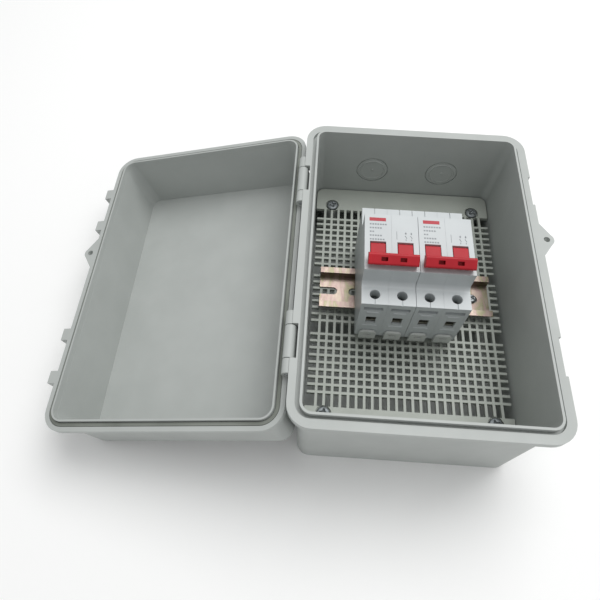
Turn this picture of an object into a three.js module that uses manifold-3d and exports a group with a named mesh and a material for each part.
// DC combiner box: two photovoltaic strings joined through two-pole breakers, in a
// hinged moulded enclosure that opens like a book.
//
// Millimetres. The box lies on its back: the origin is the centre of the back face, +Z
// runs from the back to the lid, +Y runs up the box and +X runs towards the latches.
// The lid is built closed and then turned open about the hinge axis.
import * as THREE from 'three';
import { mergeVertices } from 'three/addons/utils/BufferGeometryUtils.js';
import Module from 'manifold-3d';

const wasm = await Module();
wasm.setup();

// ---- clearances ----
const GAP = 0.3; // running and seating clearance between separate pieces
const CUT = 1; // how far a cutting solid runs past the face it cuts

// ---- enclosure ----
const OPEN_W = 147.8; // clear opening at the rim, across
const OPEN_H = 220.4; // clear opening at the rim, up
const OPEN_R = 6; // corner radius of the opening
const RIM_W = 9.1; // width of the rim, from the opening to its outer edge
const RIM_Z = 97; // height of the rim face above the back
const BASE_FLANGE_T = 5.5;
const BASE_WALL = 3;
const BASE_FLOOR = 3;
const BASE_DRAFT = 0.0105; // inward lean of the base walls towards the back, per mm
const TONGUE_T = 1.5; // sealing tongue round the opening
const TONGUE_H = 2.6;
const LIP_T = 1.2; // lid lip that drops outside the tongue
const LIP_H = 2.2;
const LIP_SWING = 0.9; // extra width of the groove on the hinge side, for the lip to swing in
const LID_WALL = 2.6;
const LID_DEPTH = 48.6; // rim face to outer face of the lid
const LID_FLANGE_T = 4;
const LID_DRAFT = 0.042;
const GASKET_W = 3; // width of the gasket seat in the lid rim
const GASKET_T = 1.9;
const CORNER_STEPS = 4; // flats round each rim corner

// ---- hinges ----
const HINGE_OUT = 1; // hinge axis outside the rim edge
const HINGE_DROP = 4.4; // hinge axis below the rim face
const HINGE_END = 53.8; // centre of each hinge from the end of the rim
const KNUCKLE_R = 3.6;
const PIN_R = 1.3;
const LID_KNUCKLE_L = 22;
const BASE_KNUCKLE_L = 9.5;
const KNUCKLE_ROOM = 1.2; // base flange to the lid knuckle, for its arm to swing under
const FLOOR_GAP = 0.3; // open lid above the surface that the box lies on

// ---- latches ----
const LATCH_END = 54.3; // centre of each latch from the end of the rim
const LUG_IN = 11.8; // latch centre to the inner face of each lug
const LUG_W = 9;
const LUG_OUT = 5.6; // lug beyond the rim edge
const LUG_RISE = 10.2; // lug above the rim face
const LATCH_PIN_R = 1.1;
const LATCH_PIN_IN = 1; // latch pin inside the rim edge
const LATCH_PIN_RISE = 6.7; // latch pin above the rim face
const LATCH_BARREL_R = 2.3;
const LATCH_PLATE_T = 2;
const LATCH_HOOK_IN = 2.5; // how far the hook reaches inside the rim edge
const LATCH_HOOK_T = 2;
const LATCH_NOTCH = 1.5; // depth of the notch in the base flange
const LATCH_STOWED = Math.PI; // latch folded back, measured from hooked

// ---- padlock ears ----
const EAR_Y = 22;
const EAR_HALF = 13.5;
const EAR_HOLE_OUT = 3.4; // hole centre beyond the rim edge
const EAR_HOLE_R = 2.2;
const EAR_NOSE_R = 5;

// ---- cable knock-outs in the top wall ----
const KNOCKOUT_X = 28.4;
const KNOCKOUT_DROP = 35.5; // centre below the rim face
const KNOCKOUT_R = 13;
const KNOCKOUT_GROOVE = 0.7;

// ---- mounting plate ----
const PLATE_Z = 36; // top face above the back
const PLATE_T = 3;
const PLATE_SIDE_GAP = 0.8;
const PITCH = 5.64; // pitch of the perforation
const BAR = 1.9; // width of a bar between openings
const STRIP_PITCHES = 3.5; // solid strip at each end of the plate, in pitches
const LONG_ROW = 2; // height of a row of tall openings, in pitches
const MIDDLE_BAR = 3.5; // first cross bar from the middle, in pitches
const PLATE_SCREW_IN_X = 13.26; // from the edges of the plate
const PLATE_SCREW_IN_Y = 17.46;
const RECESS_R = 5.6;
const RECESS_D = 1.5;
const BOSS_R = 5.4;
const SCREW_SHANK_R = 1.9;
const PLATE_HEAD_R = 4.4;
const PLATE_HEAD_H = 2.2;
const PLATE_SCREW_L = 18;

// ---- mounting rail ----
const RAIL_SHORT = 7.46; // how much shorter than the plate the rail is, at each end
const RAIL_X = -1.2;
const RAIL_Y = PITCH; // rail centre sits on a row of openings
const RAIL_W = 35;
const RAIL_BRIM = 4; // width of each flange
const RAIL_H = 7.5;
const RAIL_T = 1;
const RAIL_SLOT_W = 6.2;
const RAIL_SLOT_L = 27;
const RAIL_SLOT_PITCH = 36;
const RAIL_SLOT_START = 22.5; // rail end to the first full slot
const RAIL_SCREW_R = 1.5;
const RAIL_HEAD_R = 3.5;
const RAIL_HEAD_H = 2.2;
const RAIL_SCREW_L = 12;

// ---- breaker poles ----
const POLES = 4;
const POLE_PITCH = 18;
const POLES_X = -3.6; // centre of the row of poles
const COVER_W = 5.15; // depth of the shallower shell
const SHELL_WALL = 1.6;
const SIDE_WALL = 1.5;
const POLE_SOUTH = 38.8; // rail centre to the lower end face
const POLE_NORTH = 40.2; // rail centre to the upper end face
const FACE_H = 46.2; // terminal face above the rail flange
const NOSE_H = 62.2; // nose above the rail flange
const NOSE_HALF = 22.4;
const HEEL = 5; // how far the feet reach behind the rail flange
const HOOK_IN = 2; // overlap of the hooks on the rail flange
const TERMINAL_SOUTH_IN = 7.5; // end face to the terminal screws
const TERMINAL_NORTH_IN = 8.9;
const TERMINAL_HOLE_R = 3.4;
const TERMINAL_HEAD_R = 2.6;
const TERMINAL_HEAD_H = 2.6;
const TERMINAL_HEAD_DROP = 7.2; // head top below the terminal face
const TERMINAL_SHANK_R = 1.7;
const CAGE_W = 9.6;
const CAGE_Z0 = 17.6; // foot of the cage above the rail flange
const CAGE_H = 13;
const CAGE_WALL = 1.5;
const CAGE_D = 9.6;
const ENTRY_W = 6.8;
const ENTRY_H = 8.8;
const ENTRY_RISE = 1.8; // entry above the foot of the cage
const VENT_DROP = 6.8; // vent below the terminal face
const VENT_W = 6.4;
const VENT_H = 1.2;

// ---- toggles ----
const PIVOT_Y = -8.8; // toggle pivot from the rail centre
const PIVOT_DEPTH = 7; // toggle pivot below the nose
const ROCKER_R = 10;
const ROCKER_PROUD = 0.3; // rocker above the nose
const ROCKER_END = THREE.MathUtils.degToRad(130); // end of its arc, from the lever
const ROCKER_STEPS = 4;
const TOGGLE_W = 10;
const LEVER_T = 5.4;
const LEVER_R = 14.5; // pivot to the lever tip
const LEAN = THREE.MathUtils.degToRad(35); // lever from upright when off
const AXLE_R = 1.6;
const AXLE_IN = 0.6; // axle end inside its blind bearing
const BEARING_D = 0.95;
const TIE_END = 7; // lever centre to the end of the tie bar
const TIE_T = 7.8;
const TIE_R0 = 11.6; // pivot to the near face of the tie bar
const TIE_TOP = 3.5; // tie bar beyond the lever tip
const TIE_WINDOW_X = 6;
const TIE_WINDOW_W = 4.2;
const TIE_WINDOW_H = 2.6;

// ---- rail clips ----
const CLIP_W = 12;
const CLIP_TAB_T = 1.8;
const CLIP_TAB_H = 9;

// ---- breaker internals ----
const CHUTE_BEHIND = 2.8; // arc chute behind the lower cage
const CHUTE_Z = 13;
const CHUTE_L = 16;
const CHUTE_H = 17;
const CHUTE_PLATES = 7;
const COIL_Y = 11;
const COIL_Z = 31;
const COIL_R = 5;
const COIL_L = 16;
const COIL_CHEEK_T = 1.6;

// ---- worked out from the sizes above ----
const EDGE_X = OPEN_W / 2 + RIM_W;
const EDGE_Y = OPEN_H / 2 + RIM_W;
const HINGE_Y = EDGE_Y - HINGE_END;
const LATCH_Y = EDGE_Y - LATCH_END;
const KNOCKOUT_Z = RIM_Z - KNOCKOUT_DROP;
const LID_Z = RIM_Z + GAP;
const LID_TOP = LID_Z + LID_DEPTH;
const LIP_IN = TONGUE_T + GAP;
const LIP_OUT = LIP_IN + LIP_T;
const SEAT_OUT = LIP_OUT + GASKET_W;
const LID_WALL_OUT = LIP_IN + LID_WALL;
const AXIS_X = -EDGE_X - HINGE_OUT;
const AXIS_Z = RIM_Z - HINGE_DROP;
const KNUCKLE_GAP = 2 * GAP;
const HINGE_HALF = LID_KNUCKLE_L / 2 + KNUCKLE_GAP + BASE_KNUCKLE_L;
const LATCH_PIN_X = EDGE_X - LATCH_PIN_IN;
const LATCH_PIN_Z = LID_Z + LATCH_PIN_RISE;
const SHELF_INSET = (RIM_Z - PLATE_Z) * BASE_DRAFT;
const PLATE_X = OPEN_W / 2 - SHELF_INSET - PLATE_SIDE_GAP;
const PLATE_Y = OPEN_H / 2 - SHELF_INSET - PLATE_SIDE_GAP;
const PLATE_SCREW_X = PLATE_X - PLATE_SCREW_IN_X;
const PLATE_SCREW_Y = PLATE_Y - PLATE_SCREW_IN_Y;
const LAST_COLUMN = Math.floor(PLATE_X / PITCH) - 0.5; // outermost upright bar, in pitches
const END_BAR = Math.floor(PLATE_Y / PITCH) - STRIP_PITCHES; // edge of each end strip, in pitches
const RAIL_Z = PLATE_Z + GAP;
const RAIL_L = 2 * (PLATE_X - RAIL_SHORT);
const RAIL_X0 = RAIL_X - RAIL_L / 2;
const RAIL_LAND = RAIL_SLOT_PITCH - RAIL_SLOT_L; // metal between two slots
const RAIL_SLOTS = Math.floor((RAIL_L - RAIL_SLOT_START + RAIL_LAND) / RAIL_SLOT_PITCH);
const FLANGE_Z = RAIL_Z + RAIL_H;
const POLE_W = POLE_PITCH - GAP;
const CASE_W = POLE_W - COVER_W - GAP;
const TERMINAL_Y = { '-1': TERMINAL_SOUTH_IN - POLE_SOUTH, 1: POLE_NORTH - TERMINAL_NORTH_IN };
const CAGE_Z1 = CAGE_Z0 + CAGE_H;
const ENTRY_Z = CAGE_Z0 + ENTRY_RISE;
const VENT_Z = FACE_H - VENT_DROP;
const PIVOT_Z = NOSE_H - PIVOT_DEPTH;
const TIE_R1 = LEVER_R + TIE_TOP;
const TIE_L = POLE_PITCH + 2 * TIE_END;
const CAGE_SOUTH = SHELL_WALL + GAP - POLE_SOUTH; // outer end of the lower cage
const CHUTE_Y = CAGE_SOUTH + CAGE_D + CHUTE_BEHIND + CHUTE_L / 2;

// ---- materials ----
const finish = (color, roughness, metalness) => ({ color, roughness, metalness });
const ABS_GREY = finish(0xc4c7c5, 0.5, 0);
const PLATE_GREY = finish(0xb9beb6, 0.55, 0);
const GASKET_GREY = finish(0x7d8078, 0.85, 0);
const BREAKER_GREY = finish(0xd2d6d6, 0.5, 0);
const TOGGLE_RED = finish(0xb3202a, 0.4, 0);
const CLIP_WHITE = finish(0xd8dad6, 0.5, 0);
const ZINC_YELLOW = finish(0xb9a27a, 0.35, 0.9);
const ZINC_CLEAR = finish(0xaeb3b5, 0.35, 0.9);
const STEEL_DARK = finish(0x5d6064, 0.45, 0.9);
const BRASS = finish(0xb59a5a, 0.35, 0.9);
const COPPER = finish(0xa8643c, 0.4, 0.9);
const STAINLESS = finish(0xb8bbbd, 0.3, 0.95);

// ---- solids ----

// A closed solid from a three.js geometry.
function solid(geometry) {
  const bare = geometry.clone();
  bare.deleteAttribute('normal');
  bare.deleteAttribute('uv');
  const merged = mergeVertices(bare, 1e-4);
  return new wasm.Manifold(new wasm.Mesh({
    numProp: 3,
    vertProperties: new Float32Array(merged.getAttribute('position').array),
    triVerts: new Uint32Array(merged.getIndex().array),
  }));
}

// A box between two corners.
function box(x0, x1, y0, y1, z0, z1) {
  const geometry = new THREE.BoxGeometry(x1 - x0, y1 - y0, z1 - z0);
  geometry.translate((x0 + x1) / 2, (y0 + y1) / 2, (z0 + z1) / 2);
  return solid(geometry);
}

// A round bar along Z from z0 to z1, standing on (x, y).
function barZ(radius, x, y, z0, z1, sides) {
  const geometry = new THREE.CylinderGeometry(radius, radius, z1 - z0, sides);
  geometry.rotateX(Math.PI / 2);
  geometry.translate(x, y, (z0 + z1) / 2);
  return solid(geometry);
}

// A round bar along Y from y0 to y1.
function barY(radius, x, z, y0, y1, sides) {
  const geometry = new THREE.CylinderGeometry(radius, radius, y1 - y0, sides);
  geometry.translate(x, (y0 + y1) / 2, z);
  return solid(geometry);
}

// A round bar along X from x0 to x1.
function barX(radius, y, z, x0, x1, sides) {
  const geometry = new THREE.CylinderGeometry(radius, radius, x1 - x0, sides);
  geometry.rotateZ(Math.PI / 2);
  geometry.translate((x0 + x1) / 2, y, z);
  return solid(geometry);
}

// A shape in X and Y, extruded along Z.
function prismZ(shape, z0, z1, curveSegments = 6) {
  const depth = z1 - z0;
  const geometry = new THREE.ExtrudeGeometry(shape, { depth, bevelEnabled: false, curveSegments });
  geometry.translate(0, 0, z0);
  return solid(geometry);
}

// A shape whose own axes are Y and Z, extruded along X.
function prismX(shape, x0, x1, curveSegments = 6) {
  const depth = x1 - x0;
  const geometry = new THREE.ExtrudeGeometry(shape, { depth, bevelEnabled: false, curveSegments });
  geometry.applyMatrix4(new THREE.Matrix4().set(0, 0, 1, x0, 1, 0, 0, 0, 0, 1, 0, 0, 0, 0, 0, 1));
  return solid(geometry);
}

// A shape through a list of points.
function outline(points) {
  return new THREE.Shape(points.map(([x, y]) => new THREE.Vector2(x, y)));
}

function roundedRect(halfX, halfY, radius) {
  const shape = new THREE.Shape();
  const x = halfX - radius;
  const y = halfY - radius;
  shape.absarc(x, y, radius, 0, Math.PI / 2);
  shape.absarc(-x, y, radius, Math.PI / 2, Math.PI);
  shape.absarc(-x, -y, radius, Math.PI, Math.PI * 1.5);
  shape.absarc(x, -y, radius, Math.PI * 1.5, Math.PI * 2);
  shape.closePath();
  return shape;
}

// A block that follows the opening of the box at a given offset from its edge. Its walls
// lean in by one amount at z0 and another at z1.
function rimBlock(offset, z0, z1, lean0 = 0, lean1 = 0) {
  const shape = roundedRect(OPEN_W / 2 + offset, OPEN_H / 2 + offset, OPEN_R + offset);
  const depth = z1 - z0;
  const options = { depth, bevelEnabled: false, curveSegments: CORNER_STEPS };
  const geometry = new THREE.ExtrudeGeometry(shape, options);
  const position = geometry.getAttribute('position');
  for (let i = 0; i < position.count; i += 1) {
    const lean = position.getZ(i) > depth / 2 ? lean1 : lean0;
    position.setX(i, position.getX(i) - Math.sign(position.getX(i)) * lean);
    position.setY(i, position.getY(i) - Math.sign(position.getY(i)) * lean);
  }
  geometry.translate(0, 0, z0);
  return solid(geometry);
}

// The part of a rim between two offsets from the opening.
function rimRing(inner, outer, z0, z1) {
  return rimBlock(outer, z0, z1).subtract(rimBlock(inner, z0 - CUT, z1 + CUT));
}

function joined(parts) {
  return parts.reduce((whole, part) => whole.add(part));
}

function cutFrom(whole, cutters) {
  return cutters.reduce((rest, cutter) => rest.subtract(cutter), whole);
}

// A named mesh from a solid.
function piece(name, body, { color, roughness, metalness }) {
  const { numProp, vertProperties, triVerts } = body.getMesh();
  const geometry = new THREE.BufferGeometry();
  const positions = new Float32Array((vertProperties.length / numProp) * 3);
  for (let i = 0; i < positions.length / 3; i += 1) {
    for (let axis = 0; axis < 3; axis += 1) {
      positions[i * 3 + axis] = vertProperties[i * numProp + axis];
    }
  }
  geometry.setAttribute('position', new THREE.BufferAttribute(positions, 3));
  geometry.setIndex(new THREE.BufferAttribute(new Uint32Array(triVerts), 1));
  geometry.computeVertexNormals();
  const material = new THREE.MeshStandardMaterial({ color, roughness, metalness });
  const mesh = new THREE.Mesh(geometry, material);
  mesh.name = name;
  return mesh;
}

// A screw pointing down: a domed head over a plain shank, with its head seated at headZ.
function screw(x, y, headZ, headR, headH, shankR, length) {
  const profile = [
    [0, -length],
    [shankR * 0.6, -length],
    [shankR, -length + shankR],
    [shankR, 0],
    [headR, 0],
    [headR, headH * 0.6],
    [headR * 0.7, headH],
    [0, headH],
  ].map(([r, z]) => new THREE.Vector2(r, z));
  const geometry = new THREE.LatheGeometry(profile, 10);
  geometry.rotateX(Math.PI / 2);
  geometry.translate(x, y, headZ);
  return solid(geometry);
}

// ---- enclosure ----

// Padlock ear: a flat triangle with a round nose, standing out of the rim edge.
function ear(z0, z1) {
  const shape = new THREE.Shape();
  const tip = EDGE_X + EAR_HOLE_OUT;
  const swing = Math.PI / 3.6;
  shape.moveTo(EDGE_X - CUT, EAR_Y - EAR_HALF);
  shape.lineTo(EDGE_X, EAR_Y - EAR_HALF);
  shape.absarc(tip, EAR_Y, EAR_NOSE_R, -swing, swing);
  shape.lineTo(EDGE_X, EAR_Y + EAR_HALF);
  shape.lineTo(EDGE_X - CUT, EAR_Y + EAR_HALF);
  shape.closePath();
  return prismZ(shape, z0, z1);
}

function earHole(z0, z1) {
  return barZ(EAR_HOLE_R, EDGE_X + EAR_HOLE_OUT, EAR_Y, z0 - CUT, z1 + CUT, 12);
}

// Two base knuckles for each hinge, either side of the lid knuckle.
function baseKnuckles(middle) {
  const start = LID_KNUCKLE_L / 2 + KNUCKLE_GAP;
  const end = start + BASE_KNUCKLE_L;
  return [
    barY(KNUCKLE_R, AXIS_X, AXIS_Z, middle + start, middle + end, 16),
    barY(KNUCKLE_R, AXIS_X, AXIS_Z, middle - end, middle - start, 16),
  ];
}

// Room in the base flange for the lid knuckle.
function knuckleRoom(middle) {
  const half = LID_KNUCKLE_L / 2 + KNUCKLE_GAP;
  const inner = AXIS_X + KNUCKLE_R + KNUCKLE_ROOM;
  return box(AXIS_X - KNUCKLE_R - CUT, inner, middle - half, middle + half,
    RIM_Z - BASE_FLANGE_T - CUT, RIM_Z + CUT);
}

// The bore for a hinge pin, through all three knuckles.
function hingeBore(middle) {
  const half = HINGE_HALF + CUT;
  return barY(PIN_R + GAP, AXIS_X, AXIS_Z, middle - half, middle + half, 12);
}

// The groove outside the tongue, for the lip of the lid.
function lipGroove() {
  const groove = rimRing(TONGUE_T, LIP_OUT + GAP, RIM_Z - LIP_H - 2 * GAP, RIM_Z + CUT);
  const hingeSide = box(-EDGE_X, OPEN_R - OPEN_W / 2, -EDGE_Y, EDGE_Y, 0, LID_TOP);
  return groove.add(groove.translate([-LIP_SWING, 0, 0]).intersect(hingeSide));
}

function latchNotch(middle) {
  const half = LUG_IN + CUT;
  return box(EDGE_X - LATCH_NOTCH, EDGE_X + CUT, middle - half, middle + half,
    RIM_Z - BASE_FLANGE_T - CUT, RIM_Z + CUT);
}

// A shallow round groove in the inner face of the top wall: a punch-out for a cable gland.
function knockoutGroove(x) {
  const wallY = OPEN_H / 2 - (RIM_Z - KNOCKOUT_Z) * BASE_DRAFT;
  const outer = barY(KNOCKOUT_R, x, KNOCKOUT_Z, wallY - CUT, wallY + KNOCKOUT_GROOVE, 20);
  const inner = KNOCKOUT_R - KNOCKOUT_GROOVE;
  return outer.subtract(barY(inner, x, KNOCKOUT_Z, wallY - 2 * CUT, wallY + CUT, 20));
}

function plateScrewPlaces() {
  const places = [];
  for (const y of [PLATE_SCREW_Y, -PLATE_SCREW_Y]) {
    for (const x of [-PLATE_SCREW_X, PLATE_SCREW_X]) {
      places.push([x, y]);
    }
  }
  return places;
}

function baseTub() {
  const lean = RIM_Z * BASE_DRAFT;
  const flangeZ = RIM_Z - BASE_FLANGE_T;
  const bossTop = PLATE_Z - PLATE_T - GAP;
  const shell = joined([
    rimBlock(BASE_WALL, 0, RIM_Z, lean, 0),
    rimBlock(RIM_W, flangeZ, RIM_Z),
    rimBlock(TONGUE_T, RIM_Z - CUT, RIM_Z + TONGUE_H),
    ear(flangeZ + 1, RIM_Z),
    ...baseKnuckles(HINGE_Y),
    ...baseKnuckles(-HINGE_Y),
  ]);
  const above = TONGUE_H + CUT;
  const cavity = rimBlock(0, BASE_FLOOR, RIM_Z + above, (RIM_Z - BASE_FLOOR) * BASE_DRAFT, 0);
  const hollowed = cutFrom(shell, [
    cavity,
    lipGroove(),
    knuckleRoom(HINGE_Y),
    knuckleRoom(-HINGE_Y),
    hingeBore(HINGE_Y),
    hingeBore(-HINGE_Y),
    latchNotch(LATCH_Y),
    latchNotch(-LATCH_Y),
    earHole(flangeZ, RIM_Z),
    knockoutGroove(-KNOCKOUT_X),
    knockoutGroove(KNOCKOUT_X),
  ]);
  const bosses = plateScrewPlaces().map(([x, y]) => {
    const post = barZ(BOSS_R, x, y, BASE_FLOOR - CUT, bossTop, 16);
    const bore = barZ(SCREW_SHANK_R + GAP, x, y, bossTop - PLATE_SCREW_L, bossTop + CUT, 10);
    return post.subtract(bore);
  });
  return joined([hollowed, ...bosses]);
}

// Lugs either side of each latch, behind the rim of the lid.
function latchLugs(middle) {
  return [-1, 1].map((side) => {
    const inner = middle + side * LUG_IN;
    const outer = middle + side * (LUG_IN + LUG_W);
    return box(EDGE_X - RIM_W + LID_WALL, EDGE_X + LUG_OUT, Math.min(inner, outer),
      Math.max(inner, outer), LID_Z, LID_Z + LUG_RISE);
  });
}

function latchPinBore(middle) {
  const half = LUG_IN + LUG_W - SIDE_WALL;
  return barY(LATCH_PIN_R + GAP, LATCH_PIN_X, LATCH_PIN_Z, middle - half, middle + half, 10);
}

// The lid's long knuckle and the arm that carries it.
function lidKnuckle(middle) {
  const half = LID_KNUCKLE_L / 2;
  return [
    barY(KNUCKLE_R, AXIS_X, AXIS_Z, middle - half, middle + half, 16),
    box(AXIS_X - KNUCKLE_R, -EDGE_X + CUT, middle - half, middle + half,
      AXIS_Z, LID_Z + LID_FLANGE_T),
  ];
}

function lidShell() {
  const inside = LID_DEPTH - LID_WALL;
  const shell = joined([
    rimBlock(LID_WALL_OUT, LID_Z, LID_TOP, 0, LID_DEPTH * LID_DRAFT),
    rimBlock(RIM_W, LID_Z, LID_Z + LID_FLANGE_T),
    rimBlock(LIP_OUT, LID_Z - LIP_H, LID_Z + CUT),
    ear(LID_Z, LID_Z + LID_FLANGE_T),
    ...latchLugs(LATCH_Y),
    ...latchLugs(-LATCH_Y),
    ...lidKnuckle(HINGE_Y),
    ...lidKnuckle(-HINGE_Y),
  ]);
  return cutFrom(shell, [
    rimBlock(LIP_IN, LID_Z, LID_Z + inside, 0, inside * LID_DRAFT),
    rimBlock(LIP_IN, LID_Z - LIP_H - CUT, RIM_Z + TONGUE_H + GAP),
    rimRing(LIP_OUT, SEAT_OUT, LID_Z - CUT, LID_Z + GASKET_T + GAP),
    hingeBore(HINGE_Y),
    hingeBore(-HINGE_Y),
    latchPinBore(LATCH_Y),
    latchPinBore(-LATCH_Y),
    earHole(LID_Z, LID_Z + LID_FLANGE_T),
  ]);
}

function lidGasket() {
  return rimRing(LIP_OUT + GAP, SEAT_OUT - GAP, LID_Z, LID_Z + GASKET_T);
}

function hingePin(middle) {
  return barY(PIN_R, AXIS_X, AXIS_Z, middle - HINGE_HALF, middle + HINGE_HALF, 12);
}

// Latch as it lies when hooked, about its own pin: barrel, plate and hook.
function latch() {
  const half = LUG_IN - 2 * GAP;
  const plateIn = LATCH_PIN_IN + 2 * GAP;
  const plateOut = plateIn + LATCH_PLATE_T;
  const hookTop = -(LATCH_PIN_RISE + GAP + BASE_FLANGE_T + GAP);
  const hookBottom = hookTop - LATCH_HOOK_T;
  const body = joined([
    barY(LATCH_BARREL_R, 0, 0, -half, half, 14),
    box(0, plateOut, -half, half, -LATCH_BARREL_R + GAP, 0),
    box(plateIn, plateOut, -half, half, hookBottom, 0),
    box(-LATCH_HOOK_IN + LATCH_PIN_IN, plateOut, -half, half, hookBottom, hookTop),
  ]);
  return body.subtract(barY(LATCH_PIN_R + GAP, 0, 0, -half - CUT, half + CUT, 10));
}

function latchPin() {
  const half = LUG_IN + LUG_W - SIDE_WALL - GAP;
  return barY(LATCH_PIN_R, 0, 0, -half, half, 10);
}

// ---- mounting plate and rail ----

// Perforated plate: rows of openings between upright bars, and side openings that leave
// the cross bars free like the teeth of a comb.
function mountingPlate() {
  const z0 = PLATE_Z - PLATE_T;
  const side = LAST_COLUMN * PITCH + BAR / 2;
  const upper = [MIDDLE_BAR, MIDDLE_BAR + LONG_ROW, END_BAR - LONG_ROW, END_BAR];
  const bars = [...upper.map((bar) => -bar).reverse(), ...upper];
  const cutters = plateScrewPlaces().flatMap(([x, y]) => [
    barZ(RECESS_R, x, y, PLATE_Z - RECESS_D, PLATE_Z + CUT, 16),
    barZ(SCREW_SHANK_R + GAP, x, y, z0 - CUT, PLATE_Z, 10),
  ]);
  for (let row = 0; row + 1 < bars.length; row += 1) {
    const y0 = bars[row] * PITCH + BAR / 2;
    const y1 = bars[row + 1] * PITCH - BAR / 2;
    const opening = (x0, x1) => box(x0, x1, y0, y1, z0 - CUT, PLATE_Z + CUT);
    for (let column = -LAST_COLUMN; column < LAST_COLUMN; column += 1) {
      const left = column * PITCH + BAR / 2;
      cutters.push(opening(left, left + PITCH - BAR));
    }
    cutters.push(opening(side, PLATE_X + CUT));
    cutters.push(opening(-PLATE_X - CUT, -side));
  }
  return cutFrom(prismZ(roundedRect(PLATE_X, PLATE_Y, OPEN_R), z0, PLATE_Z), cutters);
}

// Left end of a full slot of the rail.
function slotStart(index) {
  return RAIL_X0 + RAIL_SLOT_START + index * RAIL_SLOT_PITCH;
}

// Top-hat rail with its slots, the first of them open at the end.
function dinRail() {
  const w = RAIL_W / 2;
  const b = w - RAIL_BRIM;
  const t = RAIL_T;
  const z0 = RAIL_Z;
  const z1 = FLANGE_Z;
  const section = outline([
    [-w, z1 - t], [-b, z1 - t], [-b, z0], [b, z0], [b, z1 - t], [w, z1 - t],
    [w, z1], [b - t, z1], [b - t, z0 + t], [-b + t, z0 + t], [-b + t, z1], [-w, z1],
  ].map(([y, z]) => [RAIL_Y + y, z]));
  const slot = (from, to) => {
    const r = RAIL_SLOT_W / 2;
    const shape = new THREE.Shape();
    shape.absarc(to - r, RAIL_Y, r, -Math.PI / 2, Math.PI / 2);
    shape.absarc(from + r, RAIL_Y, r, Math.PI / 2, Math.PI * 1.5);
    shape.closePath();
    return prismZ(shape, z0 - CUT, z0 + t + CUT);
  };
  const slots = [slot(RAIL_X0 - RAIL_SLOT_L / 2, slotStart(0) - RAIL_LAND)];
  for (let i = 0; i < RAIL_SLOTS; i += 1) {
    slots.push(slot(slotStart(i), slotStart(i) + RAIL_SLOT_L));
  }
  return cutFrom(prismX(section, RAIL_X0, RAIL_X0 + RAIL_L), slots);
}

// The rail screws stand over columns of the plate's openings: one in the middle of the
// first full slot, one at the far end of the last.
function railScrewPlaces() {
  const first = slotStart(0) + RAIL_SLOT_L / 2;
  const last = slotStart(RAIL_SLOTS - 1) + RAIL_SLOT_L - RAIL_SLOT_W / 2;
  return [Math.round(first / PITCH) * PITCH, Math.floor(last / PITCH) * PITCH];
}

// ---- breaker poles ----
// A pole is built with its left face at x = 0. Y is measured from the rail centre and Z
// from the top of the rail flange.

// Side outline of a pole, with its fixed hook round the upper rail flange.
function poleOutline() {
  const hookY = RAIL_W / 2 - HOOK_IN;
  const footY = RAIL_W / 2 + GAP;
  const hookZ = -RAIL_T - GAP;
  return outline([
    [-POLE_SOUTH, GAP], [-POLE_SOUTH, FACE_H], [-NOSE_HALF, FACE_H], [-NOSE_HALF, NOSE_H],
    [NOSE_HALF, NOSE_H], [NOSE_HALF, FACE_H], [POLE_NORTH, FACE_H], [POLE_NORTH, -HEEL],
    [hookY, -HEEL], [hookY, hookZ], [footY, hookZ], [footY, GAP],
  ].reverse());
}

// The hollow inside a pole.
function poleHollow(x0, x1) {
  const w = SHELL_WALL;
  return prismX(outline([
    [-POLE_SOUTH + w, GAP + w], [-POLE_SOUTH + w, FACE_H - w], [-NOSE_HALF + w, FACE_H - w],
    [-NOSE_HALF + w, NOSE_H - w], [NOSE_HALF - w, NOSE_H - w], [NOSE_HALF - w, FACE_H - w],
    [POLE_NORTH - w, FACE_H - w], [POLE_NORTH - w, GAP + w],
  ].reverse()), x0, x1);
}

// The slot in the nose that the lever swings in.
function toggleSlot() {
  const reach = PIVOT_DEPTH * Math.tan(LEAN) + LEVER_T / 2 / Math.cos(LEAN) + 2 * GAP;
  const half = TOGGLE_W / 2 + GAP;
  const mid = POLE_W / 2;
  return box(mid - half, mid + half, PIVOT_Y - reach, PIVOT_Y + reach,
    NOSE_H - SHELL_WALL - CUT, NOSE_H + CUT);
}

// A skirt beside the sliding clip.
function skirt(x0, x1) {
  return box(x0, x1, -POLE_SOUTH, -RAIL_W / 2 - GAP, -HEEL, GAP + SHELL_WALL);
}

function bearing(x0, x1) {
  return barX(AXLE_R + GAP, PIVOT_Y, PIVOT_Z, x0, x1, 10);
}

function caseHalf() {
  const mid = POLE_W / 2;
  const shell = prismX(poleOutline(), 0, CASE_W)
    .subtract(poleHollow(SIDE_WALL, CASE_W + CUT))
    .add(skirt(0, SIDE_WALL));
  const cutters = [toggleSlot(), bearing(SIDE_WALL - BEARING_D, SIDE_WALL + CUT)];
  for (const y of Object.values(TERMINAL_Y)) {
    cutters.push(barZ(TERMINAL_HOLE_R, mid, y, FACE_H - SHELL_WALL - CUT, FACE_H + CUT, 14));
  }
  for (const [y0, y1] of [[-POLE_SOUTH - CUT, -POLE_SOUTH + SHELL_WALL + CUT],
    [POLE_NORTH - SHELL_WALL - CUT, POLE_NORTH + CUT]]) {
    cutters.push(box(mid - ENTRY_W / 2, mid + ENTRY_W / 2, y0, y1, ENTRY_Z, ENTRY_Z + ENTRY_H));
    cutters.push(box(mid - VENT_W / 2, mid + VENT_W / 2, y0, y1, VENT_Z, VENT_Z + VENT_H));
  }
  return cutFrom(shell, cutters);
}

function coverHalf() {
  const x0 = CASE_W + GAP;
  const inner = POLE_W - SIDE_WALL;
  const shell = prismX(poleOutline(), x0, POLE_W)
    .subtract(poleHollow(x0 - CUT, inner))
    .add(skirt(inner, POLE_W));
  return cutFrom(shell, [toggleSlot(), bearing(inner - CUT, inner + BEARING_D)]);
}

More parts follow.
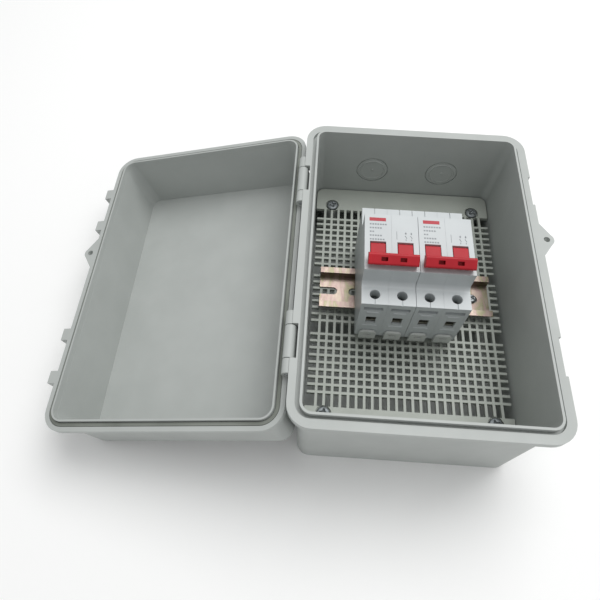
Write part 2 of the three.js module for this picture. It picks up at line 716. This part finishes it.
// Side outline of the rocker: an arc, and two flats that each lie just above the nose
// when the lever is at that end of its travel.
function rockerOutline() {
  const flat = PIVOT_DEPTH + ROCKER_PROUD;
  const start = LEAN + Math.acos(flat / ROCKER_R);
  const side = [];
  for (let i = 0; i <= ROCKER_STEPS; i += 1) {
    const angle = start + ((ROCKER_END - start) * i) / ROCKER_STEPS;
    side.push([ROCKER_R * Math.sin(angle), ROCKER_R * Math.cos(angle)]);
  }
  const otherSide = side.map(([y, z]) => [-y, z]).reverse();
  return outline([[0, flat / Math.cos(LEAN)], ...side, ...otherSide]);
}

// Toggle about its own pivot, with its lever upright: rocker, lever and axle.
function toggle() {
  const half = TOGGLE_W / 2;
  const axle = POLE_W / 2 - SIDE_WALL + AXLE_IN;
  return joined([
    prismX(rockerOutline(), -half, half),
    box(-half, half, -LEVER_T / 2, LEVER_T / 2, 0, LEVER_R),
    barX(AXLE_R, 0, 0, -axle, axle, 10),
  ]);
}

// Tie bar over two levers, about the same pivot, centred between them.
function tieBar() {
  const bar = box(-TIE_L / 2, TIE_L / 2, -TIE_T / 2, TIE_T / 2, TIE_R0, TIE_R1);
  const cutters = [];
  for (const side of [-1, 1]) {
    const x = (side * POLE_PITCH) / 2;
    const half = TOGGLE_W / 2 + GAP;
    const wall = LEVER_T / 2 + GAP;
    const window = side * TIE_WINDOW_X;
    cutters.push(box(x - half, x + half, -wall, wall, TIE_R0 - CUT, LEVER_R + GAP));
    cutters.push(box(window - TIE_WINDOW_W / 2, window + TIE_WINDOW_W / 2,
      -TIE_WINDOW_H / 2, TIE_WINDOW_H / 2, LEVER_R, TIE_R1 + CUT));
  }
  return cutFrom(bar, cutters);
}

// Sliding clip: a slide under the pole, a hook under the rail flange and a pull tab.
function railClip() {
  const tabIn = -POLE_SOUTH - GAP;
  const tabOut = tabIn - CLIP_TAB_T;
  const hookY = -RAIL_W / 2 + HOOK_IN;
  const low = -HEEL + GAP;
  const shape = outline([
    [tabOut, low], [hookY, low], [hookY, -RAIL_T - GAP], [-RAIL_W / 2 - GAP, -RAIL_T - GAP],
    [-RAIL_W / 2 - GAP, 0], [tabIn, 0], [tabIn, CLIP_TAB_H], [tabOut, CLIP_TAB_H],
  ]);
  return prismX(shape, (POLE_W - CLIP_W) / 2, (POLE_W + CLIP_W) / 2);
}

// Terminal cage: a frame round the wire, with a hole in its top for the screw.
function terminalCage(side) {
  const mid = POLE_W / 2;
  const y0 = side < 0 ? CAGE_SOUTH : POLE_NORTH - SHELL_WALL - GAP - CAGE_D;
  const y1 = y0 + CAGE_D;
  const half = CAGE_W / 2;
  const frame = box(mid - half, mid + half, y0, y1, CAGE_Z0, CAGE_Z1);
  return cutFrom(frame, [
    box(mid - half + CAGE_WALL, mid + half - CAGE_WALL, y0 - CUT, y1 + CUT,
      CAGE_Z0 + 2 * CAGE_WALL, CAGE_Z1 - 2 * CAGE_WALL),
    barZ(TERMINAL_SHANK_R + GAP, mid, TERMINAL_Y[side], CAGE_Z1 - 3 * CAGE_WALL,
      CAGE_Z1 + CUT, 10),
  ]);
}

function terminalScrew(side) {
  const seat = FACE_H - TERMINAL_HEAD_DROP - TERMINAL_HEAD_H;
  const length = seat - (CAGE_Z1 - 2 * CAGE_WALL) - GAP;
  return screw(POLE_W / 2, TERMINAL_Y[side], seat, TERMINAL_HEAD_R, TERMINAL_HEAD_H,
    TERMINAL_SHANK_R, length);
}

// Arc chute: splitter plates held on a common back.
function arcChute() {
  const half = CHUTE_L / 2;
  const step = CHUTE_H / CHUTE_PLATES;
  const plate = step * 0.55;
  const points = [[half, -CHUTE_H / 2], [half, CHUTE_H / 2 - step + plate]];
  for (let i = CHUTE_PLATES - 1; i >= 0; i -= 1) {
    const low = -CHUTE_H / 2 + i * step;
    points.push([-half, low + plate], [-half, low]);
    if (i > 0) {
      points.push([half - CAGE_WALL, low], [half - CAGE_WALL, low - step + plate]);
    }
  }
  const shape = outline(points.map(([y, z]) => [CHUTE_Y + y, CHUTE_Z + z]).reverse());
  return prismX(shape, SIDE_WALL + GAP, POLE_W - SIDE_WALL - GAP);
}

// Trip coil: a winding between two square cheeks.
function tripCoil() {
  const half = POLE_W / 2 - SIDE_WALL - GAP;
  const mid = POLE_W / 2;
  const y0 = COIL_Y - COIL_L / 2;
  const y1 = COIL_Y + COIL_L / 2;
  const winding = new THREE.CylinderGeometry(COIL_R, COIL_R, COIL_L, 14);
  winding.translate(mid, COIL_Y, COIL_Z);
  const cheek = (y) => box(mid - half, mid + half, y, y + COIL_CHEEK_T, COIL_Z - half,
    COIL_Z + half);
  return joined([solid(winding), cheek(y0), cheek(y1 - COIL_CHEEK_T)]);
}

// ---- assembly ----
const boxGroup = new THREE.Group();
boxGroup.add(piece('base_tub', baseTub(), ABS_GREY));
boxGroup.add(piece('mounting_plate', mountingPlate(), PLATE_GREY));
boxGroup.add(piece('din_rail', dinRail(), ZINC_YELLOW));

plateScrewPlaces().forEach(([x, y], i) => {
  const seat = PLATE_Z - RECESS_D + GAP;
  const body = screw(x, y, seat, PLATE_HEAD_R, PLATE_HEAD_H, SCREW_SHANK_R, PLATE_SCREW_L - 2);
  boxGroup.add(piece(`plate_screw_${i + 1}`, body, ZINC_CLEAR));
});

railScrewPlaces().forEach((x, i) => {
  const seat = RAIL_Z + RAIL_T + GAP;
  const body = screw(x, RAIL_Y, seat, RAIL_HEAD_R, RAIL_HEAD_H, RAIL_SCREW_R, RAIL_SCREW_L);
  boxGroup.add(piece(`rail_screw_${i + 1}`, body, ZINC_CLEAR));
});

[HINGE_Y, -HINGE_Y].forEach((y, i) => {
  boxGroup.add(piece(`hinge_pin_${i + 1}`, hingePin(y), STAINLESS));
});

// The lid turns open past half a turn, until its far edge lies just above the surface
// under the box or its near wall comes to the wall of the base, whichever it meets first.
const lidHalf = OPEN_W / 2 + LID_WALL_OUT - LID_DEPTH * LID_DRAFT;
const farX = lidHalf - AXIS_X;
const nearX = -lidHalf - AXIS_X;
const topZ = LID_TOP - AXIS_Z;
const wallX = -OPEN_W / 2 - BASE_WALL - AXIS_X - GAP;
const toSurface = Math.asin((AXIS_Z - FLOOR_GAP) / Math.hypot(farX, topZ))
  - Math.atan2(topZ, farX);
const toWall = Math.asin(wallX / Math.hypot(nearX, topZ)) + Math.atan2(nearX, topZ);
const openAngle = Math.PI + Math.min(toSurface, toWall);

const lidGroup = new THREE.Group();
lidGroup.position.set(AXIS_X, 0, AXIS_Z);
lidGroup.rotation.y = -openAngle;
const toAxis = [-AXIS_X, 0, -AXIS_Z];
lidGroup.add(piece('lid_shell', lidShell().translate(toAxis), ABS_GREY));
lidGroup.add(piece('lid_gasket', lidGasket().translate(toAxis), GASKET_GREY));
[LATCH_Y, -LATCH_Y].forEach((y, i) => {
  const latchGroup = new THREE.Group();
  latchGroup.position.set(LATCH_PIN_X - AXIS_X, y, LATCH_PIN_Z - AXIS_Z);
  latchGroup.rotation.y = -LATCH_STOWED;
  latchGroup.add(piece(`latch_${i + 1}`, latch(), ABS_GREY));
  latchGroup.add(piece(`latch_pin_${i + 1}`, latchPin(), STAINLESS));
  lidGroup.add(latchGroup);
});
boxGroup.add(lidGroup);

// The poles, side by side on the rail.
for (let i = 0; i < POLES; i += 1) {
  const poleGroup = new THREE.Group();
  const left = POLES_X + (i - POLES / 2) * POLE_PITCH + (POLE_PITCH - POLE_W) / 2;
  poleGroup.position.set(left, RAIL_Y, FLANGE_Z);
  const name = `pole_${i + 1}`;
  poleGroup.add(piece(`${name}_case`, caseHalf(), BREAKER_GREY));
  poleGroup.add(piece(`${name}_cover`, coverHalf(), BREAKER_GREY));
  poleGroup.add(piece(`${name}_rail_clip`, railClip(), CLIP_WHITE));
  poleGroup.add(piece(`${name}_cage_lower`, terminalCage(-1), BRASS));
  poleGroup.add(piece(`${name}_cage_upper`, terminalCage(1), BRASS));
  poleGroup.add(piece(`${name}_terminal_screw_lower`, terminalScrew(-1), ZINC_CLEAR));
  poleGroup.add(piece(`${name}_terminal_screw_upper`, terminalScrew(1), ZINC_CLEAR));
  poleGroup.add(piece(`${name}_arc_chute`, arcChute(), STEEL_DARK));
  poleGroup.add(piece(`${name}_trip_coil`, tripCoil(), COPPER));
  const toggleGroup = new THREE.Group();
  toggleGroup.position.set(POLE_W / 2, PIVOT_Y, PIVOT_Z);
  toggleGroup.rotation.x = LEAN;
  toggleGroup.add(piece(`${name}_toggle`, toggle(), TOGGLE_RED));
  poleGroup.add(toggleGroup);
  boxGroup.add(poleGroup);
}

// One tie bar over each pair of levers.
for (let pair = 0; pair < POLES / 2; pair += 1) {
  const tieGroup = new THREE.Group();
  const middle = POLES_X + (2 * pair + 1 - POLES / 2) * POLE_PITCH;
  tieGroup.position.set(middle, RAIL_Y + PIVOT_Y, FLANGE_Z + PIVOT_Z);
  tieGroup.rotation.x = LEAN;
  tieGroup.add(piece(`tie_bar_${pair + 1}`, tieBar(), TOGGLE_RED));
  boxGroup.add(tieGroup);
}

export default boxGroup;
